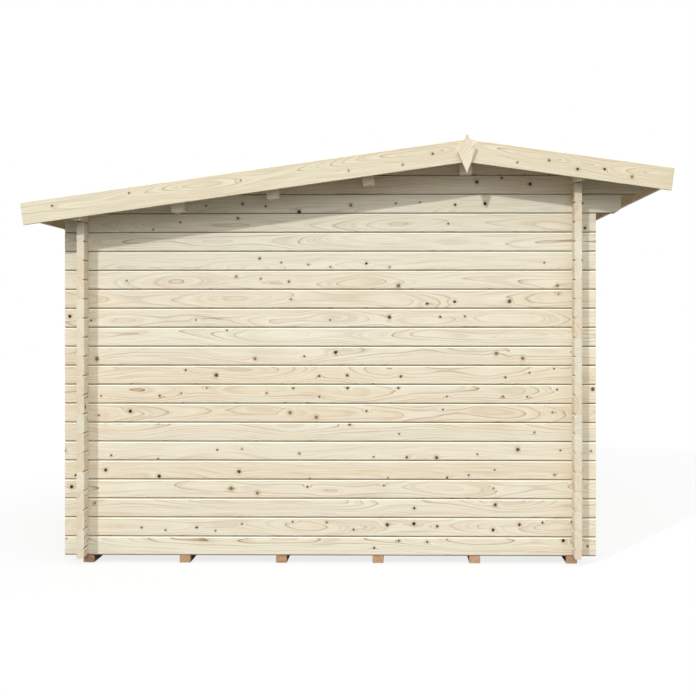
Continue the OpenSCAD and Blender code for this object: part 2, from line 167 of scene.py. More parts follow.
world = bpy.data.worlds.new("sky")
world.use_nodes = True
tree = world.node_tree
tree.nodes.clear()
rays = add(tree, "LightPath")
seen = add(tree, "Math", {0: rays.outputs["Is Camera Ray"], 1: rays.outputs["Is Glossy Ray"]},
           operation="MAXIMUM")
seen = add(tree, "Math", {0: seen, 1: rays.outputs["Is Transmission Ray"]}, operation="MAXIMUM")
level = add(tree, "MapRange", {"Value": seen, "To Min": SKY_LEVEL, "To Max": 1.0})
sky = add(tree, "Background", {"Color": (1, 1, 1, 1), "Strength": level})
add(tree, "OutputWorld", {"Surface": sky})
scene.world = world

for name, (strength, width, path) in LAMPS.items():
    lamp_data = bpy.data.lights.new(name, "SUN")
    lamp_data.energy = strength
    lamp_data.angle = radians(width)
    lamp = bpy.data.objects.new(name, lamp_data)
    lamp.rotation_mode = "QUATERNION"
    lamp.rotation_quaternion = Vector(path).to_track_quat("-Z", "Y")
    scene.collection.objects.link(lamp)
print("Lamps:", list(LAMPS), "sky:", SKY_LEVEL)

# %% [markdown]
# ## Floor
#
# The floor is a plain pale sheet that catches the shadow. A white floor would throw light
# up into the shade under the roof, which is dark in the photograph. So its paint is grey,
# and the camera alone sees it with a glow of its own that makes it pale again.

# %% The studio floor
FLOOR_SIZE = 60.0
FLOOR_GLOW = 0.8
FLOOR_COLOUR = (0.16, 0.16, 0.16, 1)

half = FLOOR_SIZE / 2
floor_mesh = bpy.data.meshes.new("studio_floor")
floor_mesh.from_pydata([(-half, -half, 0), (half, -half, 0), (half, half, 0), (-half, half, 0)],
                       [], [(0, 1, 2, 3)])
floor = bpy.data.objects.new("studio_floor", floor_mesh)
scene.collection.objects.link(floor)
material, tree, output = new_material("pale_floor")
rays = add(tree, "LightPath")
paint = add(tree, "BsdfDiffuse", {"Color": FLOOR_COLOUR})
glow_level = add(tree, "MapRange", {"Value": rays.outputs["Is Camera Ray"], "To Max": FLOOR_GLOW})
glow = add(tree, "Emission", {"Color": (1, 1, 1, 1), "Strength": glow_level})
both = add(tree, "AddShader", {0: paint, 1: glow})
tree.links.new(both.outputs[0], output.inputs["Surface"])
floor_mesh.materials.append(material)
floor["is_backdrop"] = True
print("Floor:", FLOOR_SIZE, "m wide")

# %% [markdown]
# ## Spruce: the place within a board
#
# Every board and log of the shed is planed spruce, sawn from its own tree. A picture of
# grain could be wrapped round each one, but it would show the same grain on all of them and
# break at the ends. So the wood is worked out in space instead, from where a point lies in
# its own board. A wall is many equal logs in one mesh, so its material first counts which
# log a point is in, and then measures from the middle of that log. The boards that are made
# further down carry this place with them, as attributes of their mesh.

# %% Which board a point is in, and where
SAWN_END = (0.95, 0.85)     # how far a surface faces along the grain: a sawn end, a side


def place_in_board(tree, axes, pitch, origin, middle, seed, tilt, fold):
    """Distances along a board, across it and through it from its middle; a vector that is
    different for each board; and face, which is 0 on a sawn end and 1 elsewhere.

    Number of the board = whole part of (across - origin) / pitch, and what is left over,
    less half a pitch, is the distance across."""
    if axes is None:
        grain = add(tree, "Attribute", attribute_name="grain").outputs["Vector"]
        along, across, through = add(tree, "SeparateXYZ", {0: grain}).outputs
        number = add(tree, "Attribute", attribute_name="board").outputs["Fac"]
        return along, across, through, add(tree, "CombineXYZ", {0: number, 2: seed}), 1.0

    source = add(tree, "TexCoord")
    place, normal = source.outputs["Object"], source.outputs["Normal"]
    if tilt:
        turn = (0, radians(tilt), 0)
        place = add(tree, "Mapping", {"Vector": place, "Rotation": turn})
        normal = add(tree, "Mapping", {"Vector": normal, "Rotation": turn})
    split = add(tree, "SeparateXYZ", {0: place}).outputs
    along, across, through = (split[axis] for axis in axes)
    side = add(tree, "Math", {0: through}, operation="SIGN")
    if fold:
        through = add(tree, "Math", {0: through}, operation="ABSOLUTE")
    through = add(tree, "Math", {0: through, 1: middle}, operation="SUBTRACT")
    start = add(tree, "Math", {0: across, 1: origin}, operation="SUBTRACT")
    row = add(tree, "Math", {0: start, 1: pitch}, operation="DIVIDE")
    number = add(tree, "Math", {0: row}, operation="FLOOR")
    across = add(tree, "Math", {0: start, 1: pitch}, operation="FLOORED_MODULO")
    across = add(tree, "Math", {0: across, 1: pitch / 2}, operation="SUBTRACT")
    facing = add(tree, "SeparateXYZ", {0: normal}).outputs[axes[0]]
    facing = add(tree, "Math", {0: facing}, operation="ABSOLUTE")
    face = add(tree, "MapRange", {"Value": facing, "From Min": SAWN_END[0],
                                  "From Max": SAWN_END[1]})
    board = add(tree, "CombineXYZ", {0: number, 1: side, 2: seed})
    return along, across, through, board, face


# %% [markdown]
# ## Spruce: knots
#
# A knot is the foot of a branch. Most of those in the photograph are small and black, where
# a twig had died before the tree grew round it. Some are brown with a black rim, and the
# wood round a knot is stained and bends out of its way. They could be set down by hand, but
# there are hundreds. So each board has a row of points at uneven distances, which is a
# Voronoi pattern in one dimension, and each point has a chance to be a knot. Some boards
# have hardly any, others many. The cube of the chance makes small knots common and large
# ones rare.

# %% Knots along a board
KNOT_STEP = 0.16            # mean distance between two points that may be knots
KNOT_SPREAD = 0.9           # 0 would set them at even distances, 1 anywhere
KNOT_RADIUS = 0.0052        # of the smallest ones
KNOT_GAIN = 0.0070          # how much larger the largest are
KNOT_UNEVEN = 0.005         # how much their outline wobbles
BEND_SCALE = 150.0          # wobbles 1 / 150 m, about 7 mm, long
PUSH = 0.006                # how far a knot pushes the rings aside
PUSH_REACH = 2.8            # and how far off that is felt, in knot radii
PUSH_FADE = 0.16            # the push ends before the next point's share of the board


def knots_along(tree, run, across, lay, width, chances, face, amount):
    """The knots of a board, as sockets: kind (three chances of the nearest knot), ratio
    (distance from it / its radius), core and halo (1 inside it and round it), and swell
    (how far the rings are pushed aside).

    Radius of a knot = KNOT_RADIUS + KNOT_GAIN times the third power of its chance."""
    pattern = {"W": run, "Scale": 1 / KNOT_STEP, "Randomness": KNOT_SPREAD}
    spot = add(tree, "TexVoronoi", pattern, voronoi_dimensions="1D")
    border = add(tree, "TexVoronoi", pattern, voronoi_dimensions="1D", feature="DISTANCE_TO_EDGE")
    kind = add(tree, "SeparateColor", {0: spot.outputs["Color"]}).outputs

    # Place measured from the knot: most knots of a board lie near one line
    knot_run = add(tree, "Math", {0: spot.outputs["W"], 1: run}, operation="SUBTRACT")
    line = add(tree, "Math", {0: chances[1], 1: 0.5, 2: -0.25}, operation="MULTIPLY_ADD")
    strew = add(tree, "Math", {0: kind[1], 1: 0.6, 2: -0.3}, operation="MULTIPLY_ADD")
    line = add(tree, "Math", {0: line, 1: strew}, operation="ADD")
    line = add(tree, "Math", {0: line, 1: width}, operation="MULTIPLY")
    knot_rise = add(tree, "Math", {0: across, 1: line}, operation="SUBTRACT")
    knot_place = add(tree, "CombineXYZ", {0: knot_run, 1: knot_rise})
    bend = add(tree, "TexNoise", {"Vector": lay, "Scale": BEND_SCALE, "Detail": 0.0})
    reach = add(tree, "VectorMath", {0: knot_place}, operation="LENGTH").outputs["Value"]
    reach = add(tree, "Math", {0: bend.outputs[0], 1: KNOT_UNEVEN, 2: reach},
                operation="MULTIPLY_ADD")
    reach = add(tree, "Math", {0: reach, 1: KNOT_UNEVEN / 2}, operation="SUBTRACT")

    # Which points are knots, and how large: least is the chance that a point has to pass
    least = add(tree, "MapRange", {"Value": chances[0], "To Min": 1 - 0.2 * amount,
                                   "To Max": 1 - 1.5 * amount})
    there = add(tree, "Math", {0: kind[0], 1: least}, operation="GREATER_THAN")
    there = add(tree, "Math", {0: there, 1: face}, operation="MULTIPLY")
    grade = add(tree, "MapRange", {"Value": kind[0], "From Min": least, "From Max": 1.0})
    size = add(tree, "Math", {0: grade, 1: 3.0}, operation="POWER")
    size = add(tree, "Math", {0: size, 1: KNOT_GAIN, 2: KNOT_RADIUS}, operation="MULTIPLY_ADD")
    ratio = add(tree, "Math", {0: reach, 1: size}, operation="DIVIDE")
    core = add(tree, "MapRange", {"Value": ratio, "From Min": 1.05, "From Max": 0.9},
               interpolation_type="SMOOTHSTEP")
    core = add(tree, "Math", {0: core, 1: there}, operation="MULTIPLY")
    halo = add(tree, "MapRange", {"Value": ratio, "From Min": 3.0, "From Max": 1.0},
               interpolation_type="SMOOTHSTEP")
    halo = add(tree, "Math", {0: halo, 1: there}, operation="MULTIPLY")

    # The push reaches about three times as far along the board as across it
    drawn = add(tree, "VectorMath", {0: knot_place, 1: (0.3, 1, 1)}, operation="MULTIPLY")
    drawn = add(tree, "VectorMath", {0: drawn}, operation="LENGTH").outputs["Value"]
    drawn = add(tree, "Math", {0: drawn, 1: size}, operation="DIVIDE")
    swell = add(tree, "MapRange", {"Value": drawn, "From Min": PUSH_REACH, "From Max": 0.0,
                                   "To Max": PUSH}, interpolation_type="SMOOTHSTEP")
    swell = add(tree, "Math", {0: swell, 1: there}, operation="MULTIPLY")
    fade = add(tree, "MapRange", {"Value": border, "From Max": PUSH_FADE},
               interpolation_type="SMOOTHSTEP")
    swell = add(tree, "Math", {0: swell, 1: fade}, operation="MULTIPLY")
    return kind, ratio, core, halo, swell


# %% [markdown]
# ## Spruce: growth rings
#
# Each board has a pith line, the middle of its tree, somewhere behind it, and the growth
# rings are tubes round that line. Where the planed face cuts the tubes at a flat angle it
# shows the pointed arches of flat-sawn wood, further out it shows fine stripes, and a sawn
# end shows arcs, all from one formula. Each ring is pale early wood that ends in a thin
# dark line of late wood. On top come threads, thin lines that follow the rings for a while
# and break off again, which keep a board from looking drawn with a pen.

# %% Rings round a wandering pith line
RING = 0.0070               # spruce grows 2 to 5 mm a year: drawn wider, so that it shows
PITH_SPREAD = (0, 0.15, -0.06)      # the pith lies up to 75 mm above or below the middle of
PITH_NEAREST = (0, -0.075, -0.03)   # its board, and 30 to 90 mm behind it
WANDERS = 1.15              # bends of the pith line in a metre
STRAY = (0.034, 0.07, 0.05)         # how far it strays; the first is the change in growth
TAPER = 0.022               # a tree tapers, so the rings of a straight board run out of it
RIPPLE_SCALE = (2.6, 16, 16)        # ripples of the rings in a metre, along and across
RIPPLE = 0.0085
LATE_POWER = 11.0           # the higher, the thinner the dark line of each ring
THREAD_SCALE = (3.0, 210, 0)        # threads 5 mm apart and a third of a metre long


def growth_rings(tree, run, along, across, through, lay, chance, chances, swell):
    """Distance from the pith, dark late wood, dark threads and pale threads, as sockets.

    Distance = length of (across, through) from the pith line, plus what taper, ripple and
    knots add. Late wood = (fraction of distance / RING) to the power LATE_POWER."""
    wander = add(tree, "TexNoise", {"W": run, "Scale": WANDERS, "Detail": 1.0},
                 noise_dimensions="1D")
    pith = add(tree, "VectorMath", {0: chance, 1: PITH_SPREAD, 2: PITH_NEAREST},
               operation="MULTIPLY_ADD")
    sway = add(tree, "VectorMath", {0: wander.outputs["Color"], 1: STRAY,
                                    2: [-stray / 2 for stray in STRAY]},
               operation="MULTIPLY_ADD")
    here = add(tree, "CombineXYZ", {1: across, 2: through})
    spoke = add(tree, "VectorMath", {0: here, 1: pith}, operation="SUBTRACT")
    spoke = add(tree, "VectorMath", {0: spoke, 1: sway}, operation="SUBTRACT")
    spoke = add(tree, "VectorMath", {0: spoke, 1: (0, 1, 1)}, operation="MULTIPLY")
    radius = add(tree, "VectorMath", {0: spoke}, operation="LENGTH").outputs["Value"]
    growth = add(tree, "SeparateXYZ", {0: sway}).outputs[0]
    radius = add(tree, "Math", {0: radius, 1: growth}, operation="ADD")
    taper = add(tree, "MapRange", {"Value": chances[2], "To Min": -TAPER, "To Max": TAPER})
    radius = add(tree, "Math", {0: along, 1: taper, 2: radius}, operation="MULTIPLY_ADD")
    ripple_place = add(tree, "VectorMath", {0: lay, 1: RIPPLE_SCALE}, operation="MULTIPLY")
    ripple = add(tree, "TexNoise", {"Vector": ripple_place, "Scale": 1.0, "Detail": 2.0})
    radius = add(tree, "Math", {0: ripple.outputs[0], 1: RIPPLE, 2: radius},
                 operation="MULTIPLY_ADD")
    radius = add(tree, "Math", {0: radius, 1: swell}, operation="ADD")

    # Late wood: stronger in some years, and in some boards
    ring = add(tree, "Math", {0: radius, 1: RING}, operation="DIVIDE")
    phase = add(tree, "Math", {0: ring}, operation="FRACT")
    late_part = add(tree, "Math", {0: phase, 1: LATE_POWER}, operation="POWER")
    shift = add(tree, "Math", {0: run, 1: along}, operation="SUBTRACT")
    year = add(tree, "TexNoise", {"W": add(tree, "Math", {0: ring, 1: shift}, operation="ADD"),
                                  "Scale": 0.45, "Detail": 1.0}, noise_dimensions="1D")
    year = add(tree, "MapRange", {"Value": year.outputs[0], "From Min": 0.38, "From Max": 0.62,
                                  "To Min": 0.15, "To Max": 1.0})
    late_part = add(tree, "Math", {0: late_part, 1: year}, operation="MULTIPLY")
    boldness = add(tree, "MapRange", {"Value": chances[1], "From Min": 0.15, "From Max": 0.8,
                                      "To Min": 0.45, "To Max": 1.5})
    late_part = add(tree, "Math", {0: late_part, 1: boldness}, operation="MULTIPLY")

    thread = add(tree, "CombineXYZ", {0: run, 1: radius})
    thread = add(tree, "VectorMath", {0: thread, 1: THREAD_SCALE}, operation="MULTIPLY")
    thread = add(tree, "TexNoise", {"Vector": thread, "Scale": 1.0, "Detail": 2.0},
                 noise_dimensions="2D").outputs[0]
    dark = add(tree, "MapRange", {"Value": thread, "From Min": 0.53, "From Max": 0.70,
                                  "To Max": 0.2})
    pale = add(tree, "MapRange", {"Value": thread, "From Min": 0.47, "From Max": 0.30,
                                  "To Max": 0.2})
    late_part = add(tree, "Math", {0: late_part, 1: dark}, operation="MAXIMUM")
    return radius, late_part, pale


# %% [markdown]
# ## Spruce: colour
#
# Fresh spruce is cream, a little warmer near the pith, and each board has a tone of its own.
# Broad streaks run along it, and fine fibres in between catch the light one by one. The tone
# is a sum of these parts, and picks a colour between the board's pale and warm ends. The
# late wood and the knots are laid over it.

# %% Colour of clear wood and of knots
STREAK_SCALE = (0.9, 26, 26)        # streaks about a metre long and 40 mm wide
FIBRE_SCALE = (5, 330, 330)         # fibres of 0.03 mm are drawn 3 mm wide, so that they show


def clear_wood(tree, lay, radius, late_part, pale, chances, light, warm, late):
    """Colour of the wood between the knots, and the fibres as heights for the bump.

    Tone = nearness to the pith + the board's own share + streaks; colour = light to warm."""
    tone = add(tree, "MapRange", {"Value": radius, "From Min": 0.10, "From Max": 0.0,
                                  "To Min": -0.15, "To Max": 0.35})
    own = add(tree, "Math", {0: chances[2], 1: 0.75}, operation="MULTIPLY")
    tone = add(tree, "Math", {0: tone, 1: own}, operation="ADD")
    streak_place = add(tree, "VectorMath", {0: lay, 1: STREAK_SCALE}, operation="MULTIPLY")
    streak = add(tree, "TexNoise", {"Vector": streak_place, "Scale": 1.0, "Detail": 4.0,
                                    "Roughness": 0.68})
    tone = add(tree, "Math", {0: streak.outputs[0], 1: 1.8, 2: tone}, operation="MULTIPLY_ADD")
    tone = add(tree, "MapRange", {"Value": tone, "From Min": 0.50, "From Max": 2.00},
               interpolation_type="SMOOTHSTEP")
    wood = add(tree, "Mix", {0: tone.outputs[0], 6: colour(light), 7: colour(warm)},
               data_type="RGBA").outputs[2]
    fibre_place = add(tree, "VectorMath", {0: lay, 1: FIBRE_SCALE}, operation="MULTIPLY")
    fibre = add(tree, "TexNoise", {"Vector": fibre_place, "Scale": 1.0, "Detail": 1.0}).outputs[0]
    fibre_shade = add(tree, "MapRange", {"Value": fibre, "From Min": 0.3, "From Max": 0.7,
                                         "To Min": 0.94, "To Max": 1.03})
    wood = add(tree, "VectorMath", {0: wood, "Scale": fibre_shade.outputs[0]},
               operation="SCALE").outputs[0]
    wood = add(tree, "Mix", {0: pale, 6: wood, 7: colour("#fffaea")}, data_type="RGBA").outputs[2]
    dark_wood = add(tree, "Math", {0: late_part, 1: 0.9}, operation="MULTIPLY")
    wood = add(tree, "Mix", {0: dark_wood, 6: wood, 7: colour(late)}, data_type="RGBA").outputs[2]
    return wood, fibre


def knotty(tree, wood, kind, ratio, core, halo):
    """The wood with its knots: four in five black, the others brown with a black rim, and
    a stain round each."""
    stain = add(tree, "Math", {0: halo, 1: 0.27}, operation="MULTIPLY")
    wood = add(tree, "Mix", {0: stain, 6: wood, 7: colour("#a5723c")}, data_type="RGBA").outputs[2]
    black = add(tree, "Math", {0: kind[2], 1: 0.22}, operation="GREATER_THAN")
    rim = add(tree, "MapRange", {"Value": ratio, "From Min": 0.55, "From Max": 0.9})
    black = add(tree, "Math", {0: black, 1: rim}, operation="MAXIMUM")
    knot_wood = add(tree, "Mix", {0: black, 6: colour("#774a28"), 7: colour("#120a05")},
                    data_type="RGBA").outputs[2]
    depth = add(tree, "MapRange", {"Value": kind[2], "To Min": 0.8, "To Max": 1.0})
    core = add(tree, "Math", {0: core, 1: depth}, operation="MULTIPLY")
    return add(tree, "Mix", {0: core, 6: wood, 7: knot_wood}, data_type="RGBA").outputs[2]


# %% [markdown]
# ## Spruce: the joint between two logs
#
# Two logs meet in a V. The slope on top of the lower log looks up into the light, and is a
# bright line; it is also painted paler, a painted highlight. The slope above it hides in its
# own shade, and a thin dark gap lies between them. The slopes are real in the mesh. The gap is
# less than a millimetre and would be lost from where the camera stands, so its shade is painted on,
# a little wider.

# %% Painted highlight and painted shade at a joint
VEE = 0.008                 # height of a slope, with the planed edge that it ends in
CREST_HIGHLIGHT = 0.75                # how far the upper slope is painted towards pale cream: a painted highlight
GAP_SHADE = 0.76                  # how dark the painted shade at the gap is


def jointed(tree, wood, across, pitch, joint, face):
    """The wood with painted shade within joint of the board's edges, at the gap, and a painted
    highlight on the upper slope.
    """
    # Painted highlight: the whole upper slope is mixed towards pale cream
    crest_highlight = add(tree, "MapRange", {"Value": across, "From Min": pitch / 2 - VEE - 0.001,
                                   "From Max": pitch / 2 - VEE + 0.001, "To Max": CREST_HIGHLIGHT})
    crest_highlight = add(tree, "Math", {0: crest_highlight, 1: face}, operation="MULTIPLY")
    wood = add(tree, "Mix", {0: crest_highlight, 6: wood, 7: colour("#fbf8e6")}, data_type="RGBA").outputs[2]
    # Painted shade: a dark brown band at each joint, wider than the real gap
    edge = add(tree, "Math", {0: across}, operation="ABSOLUTE")
    gap_shade = add(tree, "MapRange", {"Value": edge, "From Min": pitch / 2 - joint - 0.0008,
                                 "From Max": pitch / 2 - joint + 0.0002, "To Max": GAP_SHADE})
    gap_shade = add(tree, "Math", {0: gap_shade, 1: face}, operation="MULTIPLY")
    return add(tree, "Mix", {0: gap_shade, 6: wood, 7: colour("#4a330f")}, data_type="RGBA").outputs[2]


# %% The whole material
SHIFT = 90.0                # metres of trunk that the boards are cut from, so none repeats
END_SHADE = 0.96            # sawn ends are a little darker


def spruce(name, axes, pitch, seed, origin=0.0, middle=0.0, tilt=0.0, fold=False,
           light="#efe9d3", warm="#e9d8ba", late="#9c7747", joint=0.0, knots=0.45, width=None,
           rough=0.58):
    """Spruce for a row of equal boards. Planing leaves it smooth but not glossy.

    axes: which coordinates run along the boards, across them, and through their thickness,
    or None where the mesh has its own "grain" (those three) and "board" (number) attributes.
    pitch, origin: width of one board and where the first one starts, across the row.
    seed: a number of its own for each row, which gives its boards their own grain.
    middle: place of the boards' middle plane through their thickness; with fold, the two
    outer walls at plus and minus this place share one material.
    tilt: degrees about Y that lay a sloping row level before anything else is measured.
    joint: how far the painted shade line at a joint goes up and down from it, or 0 for no line.
    knots: from 0, clear wood, to about 0.6, full of knots.
    width: the strip in which the knots lie, where it isn't the pitch."""
    material, tree, output = new_material(name)
    along, across, through, board, face = place_in_board(tree, axes, pitch, origin, middle,
                                                         seed, tilt, fold)
    chance = add(tree, "TexWhiteNoise", {"Vector": board}, noise_dimensions="3D").outputs["Color"]
    chances = add(tree, "SeparateColor", {0: chance}).outputs
    run = add(tree, "Math", {0: chances[0], 1: SHIFT, 2: along}, operation="MULTIPLY_ADD")
    lay = add(tree, "CombineXYZ", {0: run, 1: across, 2: through})

    kind, ratio, core, halo, swell = knots_along(tree, run, across, lay, width or pitch, chances,
                                                 face, knots)
    radius, late_part, pale = growth_rings(tree, run, along, across, through, lay, chance,
                                           chances, swell)
    wood, fibre = clear_wood(tree, lay, radius, late_part, pale, chances, light, warm, late)
    wood = knotty(tree, wood, kind, ratio, core, halo)
    if joint:
        wood = jointed(tree, wood, across, pitch, joint, face)
    if axes:
        end = add(tree, "MapRange", {"Value": face, "To Min": END_SHADE, "To Max": 1.0})
        wood = add(tree, "VectorMath", {0: wood, "Scale": end.outputs[0]},
                   operation="SCALE").outputs[0]

    relief = add(tree, "Math", {0: fibre, 1: 0.5, 2: late_part}, operation="MULTIPLY_ADD")
    bump = add(tree, "Bump", {"Height": relief, "Strength": 0.5, "Distance": 0.0004})
    shader = add(tree, "BsdfPrincipled", {"Base Color": wood, "Roughness": rough,
                                          "Normal": bump.outputs[0]})
    tree.links.new(shader.outputs[0], output.inputs["Surface"])
    return material


print("Rings", RING * 1000, "mm wide, knots from", KNOT_RADIUS * 2000, "mm across")

# %% [markdown]
# ## Logs
#
# The logs have their real shape already, with notches, tongues and sloped edges, so they
# keep their solids and only get their wood. The gable logs and the side logs lie half a
# course apart, so each wall has a material that starts at its own height. Such places could
# be written down again as numbers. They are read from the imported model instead, so that the
# wood stays on its logs when the model changes.

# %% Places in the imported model
def corners(name):
    """The lowest and the highest corner of a CAD node, to a hundredth of a millimetre."""
    return np.round(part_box(name), 5)


def middle_of(name, axis):
    """Where the middle of a CAD node lies on one axis: (lowest + highest) / 2."""
    return float(corners(name)[:, axis].mean())


print("Thickness of a log:", round(float(np.ptp(corners("rear_wall")[:, 0])), 4), "m")


# %% Wood on the log walls
LOG = 0.114                 # height of a course
JOINT = 0.0026              # half the height of the painted shade line at a joint
LOWER = 0.00015             # how much lower than the real joints those of the material are, so
                            # that no flat underside lies on the line between two logs
gable_start = corners("left_gable_wall")[0, 2] - LOWER
side_start = corners("front_wall_left")[0, 2] - LOWER


def dress(material, *names):
    """Puts one material on whole CAD nodes."""
    for name in names:
        slots = nodes[name].data.materials
        slots.clear()
        slots.append(material)


# Pale planed logs, whose arches and knots the eye reads as single boards
dress(spruce("planed_spruce_gable_logs", (0, 2, 1), pitch=LOG, seed=1.0, origin=gable_start,
             middle=middle_of("right_gable_wall", 1), fold=True, joint=JOINT),
      "left_gable_wall", "right_gable_wall")
dress(spruce("planed_spruce_rear_logs", (1, 2, 0), pitch=LOG, seed=2.0, origin=side_start,
             middle=middle_of("rear_wall", 0), joint=JOINT), "rear_wall")
dress(spruce("planed_spruce_front_logs", (1, 2, 0), pitch=LOG, seed=3.0, origin=side_start,
             middle=middle_of("front_wall_left", 0), joint=JOINT),
      "front_sill_log", "front_wall_left", "front_wall_right", "front_wall_over_door")
print("Logs dressed")

# %% [markdown]
# ## Timbers with eased edges
#
# The bargeboards, eave boards, diamonds, purlins, bearers and the threshold are plain
# timbers. A planer takes the sharp edges off such timber, and that soft edge catches the
# light. Each is a merged copy of its CAD solid with a small bevel, and stands for that
# solid.

# %% A bevelled copy of a CAD timber
SAME_CORNER = 1e-5          # corners nearer than 0.01 mm are one
FLAT = 0.5                  # degrees: faces that meet flatter than this are one face


def eased(node, material, ease=0.0018):
    """A merged copy of a CAD solid, with its flat faces joined and every edge sharper than
    30 degrees cut back by ease."""
    mesh = nodes[node].data.copy()
    mesh.name = f"{node}_eased"
    edit = bmesh.new()
    edit.from_mesh(mesh)
    bmesh.ops.remove_doubles(edit, verts=edit.verts, dist=SAME_CORNER)
    bmesh.ops.dissolve_limit(edit, angle_limit=radians(FLAT), verts=edit.verts, edges=edit.edges)
    edit.to_mesh(mesh)
    edit.free()
    mesh.materials.clear()
    mesh.materials.append(material)
    piece = bpy.data.objects.new(f"{node}_eased", mesh)
    scene.collection.objects.link(piece)
    bevel = piece.modifiers.new("eased_edges", "BEVEL")
    bevel.width = ease
    bevel.segments = 2
    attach(piece, "root")
    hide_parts(node)
    return piece


# %% Bargeboards, along the two slopes of the roof
SLOPE = 8.0                 # degrees
RIDGE = Vector((0.70215, 0.0, 2.47193))     # where the undersides of the roof boards meet
BARGE_WIDTH = 0.130
BARGE_TOP = 0.037           # above the undersides of the roof boards

for side, tilt in (("rear", SLOPE), ("front", -SLOPE)):
    level = RIDGE.z * cos(radians(tilt)) - RIDGE.x * sin(radians(tilt))
    # The best boards of the shed: clear and pale, a shade yellower than the logs
    barge = spruce(f"planed_spruce_{side}_bargeboards", (0, 2, 1), pitch=BARGE_WIDTH, seed=4.0,
                   origin=level + BARGE_TOP - BARGE_WIDTH,
                   middle=middle_of("right_bargeboard_rear", 1), tilt=tilt, fold=True,
                   light="#e9e1c5", warm="#e0cba8")
    for gable in ("left", "right"):
        eased(f"{gable}_bargeboard_{side}", barge)
print("Bargeboards: 4")

# %% Purlins, eave boards, diamonds and threshold
PURLIN_STEP = 0.5697        # one row of the material holds one purlin: these places are
PURLIN_START = -0.9824      # measured along the slope and square to it
PURLIN_MIDDLE = 2.284
PURLIN_WIDTH = 0.07

# Purlins are drawn paler than the logs: the palest wood of the shed, which lifts their ends in the
# shade under the roof
purlin_wood = spruce("planed_spruce_purlins", (1, 0, 2), pitch=PURLIN_STEP, seed=5.0,
                     origin=PURLIN_START, middle=PURLIN_MIDDLE, tilt=SLOPE,
                     width=PURLIN_WIDTH, light="#f8f4e4", warm="#f0e6cf")
for name in ("ridge_purlin", "purlin_1", "purlin_2", "purlin_3"):
    eased(name, purlin_wood)

# One row holds the whole eave board, and another a whole diamond, cut askew to the grain
eave_wood = spruce("planed_spruce_eave_boards", (1, 2, 0), pitch=2.0, seed=8.0, origin=1.24,
                   width=0.07)
diamond_wood = spruce("planed_spruce_diamonds", (0, 2, 1), pitch=0.3, seed=9.0, origin=2.3,
                      middle=middle_of("right_finial", 1), tilt=65, fold=True)
for name, wood_used in (("rear_fascia", eave_wood), ("front_fascia", eave_wood),
                        ("left_finial", diamond_wood), ("right_finial", diamond_wood)):
    eased(name, wood_used)
threshold_wood = spruce("planed_spruce_threshold", (1, 0, 2), pitch=0.2, seed=10.0,
                        origin=1.29, middle=0.114)
eased("threshold", threshold_wood)
print("Purlins: 4, eave boards: 2, diamonds: 2, threshold: 1")

# %% [markdown]
# ## Bearers
#
# The bearers lie on the ground, so they are pine that was pressed full of a brown
# preservative, which leaves the grain to be seen through it. They are sawn rather than
# planed: the surface is rougher and the edges are sharper.

# %% Brown treated bearers
BEARERS = [f"bearer_{number}" for number in range(1, 7)]
SAWN_EASE = 0.001

# One row of the material holds one bearer, with as much on both sides of its middle
bearer_step = (middle_of(BEARERS[-1], 0) - middle_of(BEARERS[0], 0)) / (len(BEARERS) - 1)
bearer_wood = spruce("brown_treated_pine", (1, 0, 2), pitch=bearer_step, seed=11.0,
                     origin=middle_of(BEARERS[0], 0) - bearer_step / 2,
                     middle=middle_of(BEARERS[0], 2), light="#cfa57b", warm="#bd9168",
                     late="#8c623f", width=0.065, rough=0.75)
for name in BEARERS:
    eased(name, bearer_wood, SAWN_EASE)

# %% [markdown]
# ## Matched boards
#
# The roof, the floor and the door are made of matched boards: each has a tongue on one edge
# and a groove on the other, and a V where two faces meet. In the CAD model each is one slab
# of the same thickness. Here every board is a solid of its own: its profile is an outline
# in a plane, carried along the board, and the outline shrinks a little at both ends to ease
# the edges there. The mesh also keeps where each point lies in its own board, so that the
# grain always runs along the board.

# %% A profile carried along a straight path
def soft_corners(outline, radius):
    """The outline with each corner rounded by three points: one radius back along the side
    before, the middle of the curve, which is (back + 2 corner + on) / 4, and one radius on."""
    back = np.roll(outline, 1, axis=0) - outline
    on = np.roll(outline, -1, axis=0) - outline
    back_length = np.linalg.norm(back, axis=1, keepdims=True)
    on_length = np.linalg.norm(on, axis=1, keepdims=True)
    cut = np.minimum(radius, 0.4 * np.minimum(back_length, on_length))
    back = outline + back / back_length * cut
    on = outline + on / on_length * cut
    return np.stack([back, (back + 2 * outline + on) / 4, on], axis=1).reshape(-1, 2)


def bar(outline, low, high, axes, origin, number, grain=(2, 0, 1), ease=0.001, lean=(0.0, 0.0)):
    """One board: an outline in the first two of its axes, carried from low to high along the
    third. Its ends are eased by a quarter circle in three steps: depth = ease (1 - cos t)
    and inset = ease (1 - sin t), for t = 0, 45 and 90 degrees. An inset moves both sides at a
    corner inwards, by (n1 + n2) / (1 + n1 . n2) for their normals. lean slants the ends:
    their place changes by lean times the second coordinate.
    grain: which of its axes run along the grain, across it and through the thickness."""
    side = np.roll(outline, -1, axis=0) - outline
    side /= np.linalg.norm(side, axis=1, keepdims=True)
    after = np.stack([-side[:, 1], side[:, 0]], axis=1)
    before = np.roll(after, 1, axis=0)
    inwards = (after + before) / (1 + (after * before).sum(axis=1, keepdims=True))
    turn = np.radians([0, 45, 90])
    depth, inset = ease * (1 - np.cos(turn)), ease * (1 - np.sin(turn))
    place = np.concatenate([low + depth, high - depth[::-1]])
    inset = np.concatenate([inset, inset[::-1]])
    flat = outline + inset[:, None, None] * inwards
    slant = np.repeat(lean, 3)[:, None] * flat[..., 1]
    own = np.concatenate([flat, (place[:, None] + slant)[..., None]], axis=2)
    centre = np.append((outline.min(axis=0) + outline.max(axis=0)) / 2, 0.0)
    return {"points": own @ np.array(axes, float) + np.array(origin, float),
            "grain": (own - centre)[..., grain], "number": number}


